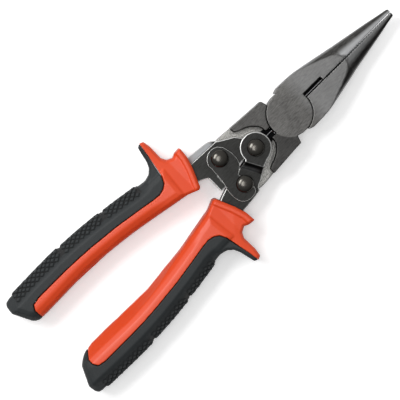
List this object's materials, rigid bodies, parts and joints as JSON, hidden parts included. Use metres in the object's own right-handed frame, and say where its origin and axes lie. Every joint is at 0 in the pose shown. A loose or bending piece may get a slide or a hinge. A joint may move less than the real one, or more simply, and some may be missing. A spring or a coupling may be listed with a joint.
{
  "type": "compound-action long-nose pliers",
  "caption": "Compound-action long-nose pliers with a toggle linkage, hook latch and two-colour grips with thumb guards.",
  "frame": {"origin": "on the main pivot axis, at the flat back of the lapped joint (the pivot pin's flush rear head)", "axes": "+X to the tip of the nose, +Y to the left jaw as seen from the front, +Z out of the front face that carries the latch"},
  "size_m": [0.2325, 0.0804, 0.0212],
  "materials": {
    "jaw_steel": "satin black oxide over ground forged steel",
    "lever_steel": "satin black oxide with bright worn edges",
    "rivet_steel": "polished dark rivet heads",
    "spring_steel": "drawn spring steel",
    "orange_plastic": "satin moulded orange plastic",
    "black_rubber": "soft moulded elastomer with a textured outer side"
  },
  "bodies": {
    "left_jaw_body": {"jaw_left": "jaw_steel", "main_pivot_pin": "rivet_steel", "main_pivot_washer": "spring_steel"},
    "right_jaw_body": {"jaw_right": "jaw_steel"},
    "right_lever_body": {"lever_right": "lever_steel", "centre_rivet": "rivet_steel", "right_rivet": "rivet_steel", "centre_rear_washer": "rivet_steel", "right_rear_washer": "rivet_steel", "spring_sleeve": "spring_steel", "right_grip_core": "orange_plastic", "right_grip_overmould": "black_rubber"},
    "left_lever_body": {"lever_left": "lever_steel", "left_rivet": "rivet_steel", "left_rear_washer": "rivet_steel", "latch_wave_washer": "spring_steel", "left_grip_core": "orange_plastic", "left_grip_overmould": "black_rubber"},
    "latch_body": {"latch_plate": "lever_steel"},
    "spring_body": {"opening_spring": "spring_steel"}
  },
  "joints": [
    {"name": "jaw_pivot", "type": "hinge", "parent": "left_jaw_body", "child": "right_jaw_body", "pos_m": [0, 0, 0], "axis": [0, 0, -1], "range_deg": [0, 14]},
    {"name": "right_lever_pivot", "type": "hinge", "parent": "left_jaw_body", "child": "right_lever_body", "pos_m": [-0.0393, -0.0086, 0], "axis": [0, 0, 1], "range_deg": [0, 11.6]},
    {"name": "left_lever_pivot", "type": "hinge", "parent": "right_jaw_body", "child": "left_lever_body", "pos_m": [-0.0393, 0.0086, 0], "axis": [0, 0, -1], "range_deg": [0, 11.6]},
    {"name": "latch_swing", "type": "hinge", "parent": "left_lever_body", "child": "latch_body", "pos_m": [-0.0393, 0.0086, 0], "axis": [0, 0, -1], "range_deg": [0, 42.5]},
    {"name": "spring_float", "type": "hinge", "parent": "right_lever_body", "child": "spring_body", "pos_m": [-0.0233, 0, 0], "axis": [0, 0, -1], "range_deg": [0, 18.6]}
  ],
  "couplings": [
    {"joint": "right_lever_pivot", "follows": "jaw_pivot", "ratio": 0.824},
    {"joint": "left_lever_pivot", "follows": "jaw_pivot", "ratio": 0.824},
    {"joint": "latch_swing", "follows": "jaw_pivot", "ratio": 3},
    {"joint": "spring_float", "follows": "jaw_pivot", "ratio": 1.324}
  ]
}
